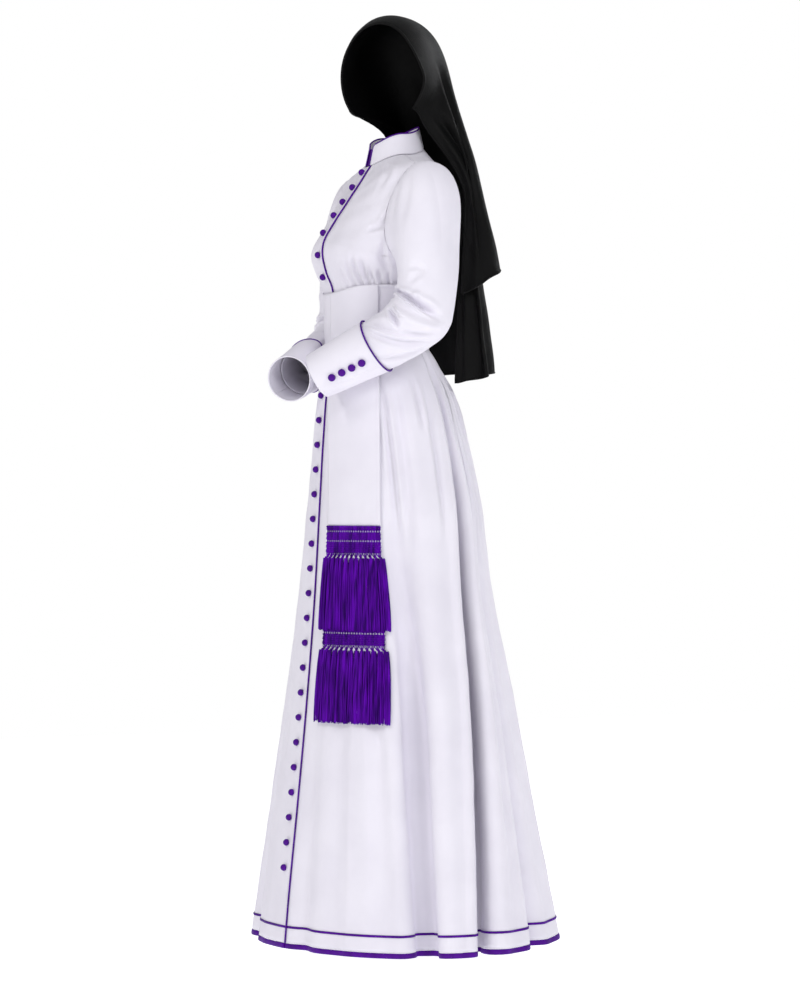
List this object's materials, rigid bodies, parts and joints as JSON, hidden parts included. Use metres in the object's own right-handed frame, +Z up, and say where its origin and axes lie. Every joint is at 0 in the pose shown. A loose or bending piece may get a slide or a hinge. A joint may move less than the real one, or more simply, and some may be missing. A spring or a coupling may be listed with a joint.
{
  "type": "nun habit with sash and veil",
  "caption": "Full-length white nun habit, hollow as worn: standing collar, buttoned front, deep cuffs, waist sash with fringed tails, violet trim and a tiered black veil.",
  "frame": {"origin": "the mount wearer_shoulders: centre of the neck opening at the collar's seam, where the robe hangs on the wearer", "axes": "+X towards the wearer's left, -Y towards the front, +Z up"},
  "size_m": [0.6657, 0.5275, 1.692],
  "materials": {
    "white_cloth": "matte woven cloth with a faint sheen",
    "violet_trim": "satin",
    "violet_fringe": "matte twisted yarn",
    "black_cloth": "matte woven cloth"
  },
  "bodies": {
    "root": {"bodice_back": "white_cloth", "bodice_front_left": "white_cloth", "bodice_front_right": "white_cloth", "collar": "white_cloth", "collar_binding": "violet_trim", "collar_underlap": "violet_trim", "cuff_left": "white_cloth", "cuff_piping_left": "violet_trim", "cuff_piping_right": "violet_trim", "cuff_right": "white_cloth", "fringe_back": "violet_fringe", "fringe_front": "violet_fringe", "front_piping": "violet_trim", "hem_binding": "violet_trim", "hem_tape": "violet_trim", "sash_band": "white_cloth", "sash_tail_back": "white_cloth", "sash_tail_front": "white_cloth", "skirt_back": "white_cloth", "skirt_front_left": "white_cloth", "skirt_front_right": "white_cloth", "sleeve_left": "white_cloth", "sleeve_right": "white_cloth", "veil_inner": "black_cloth", "veil_outer": "black_cloth", "front_button_01": "violet_trim", "front_button_02": "violet_trim", "front_button_03": "violet_trim", "front_button_04": "violet_trim", "front_button_05": "violet_trim", "front_button_06": "violet_trim", "front_button_07": "violet_trim", "front_button_08": "violet_trim", "front_button_09": "violet_trim", "front_button_10": "violet_trim", "front_button_11": "violet_trim", "front_button_12": "violet_trim", "front_button_13": "violet_trim", "front_button_14": "violet_trim", "front_button_15": "violet_trim", "front_button_16": "violet_trim", "front_button_17": "violet_trim", "front_button_18": "violet_trim", "front_button_19": "violet_trim", "front_button_20": "violet_trim", "front_button_21": "violet_trim", "front_button_22": "violet_trim", "front_button_23": "violet_trim", "front_button_24": "violet_trim", "front_button_25": "violet_trim", "front_button_26": "violet_trim", "front_button_27": "violet_trim", "cuff_button_left_1": "violet_trim", "cuff_button_left_2": "violet_trim", "cuff_button_left_3": "violet_trim", "cuff_button_left_4": "violet_trim", "cuff_button_right_1": "violet_trim", "cuff_button_right_2": "violet_trim", "cuff_button_right_3": "violet_trim", "cuff_button_right_4": "violet_trim"}
  },
  "joints": []
}
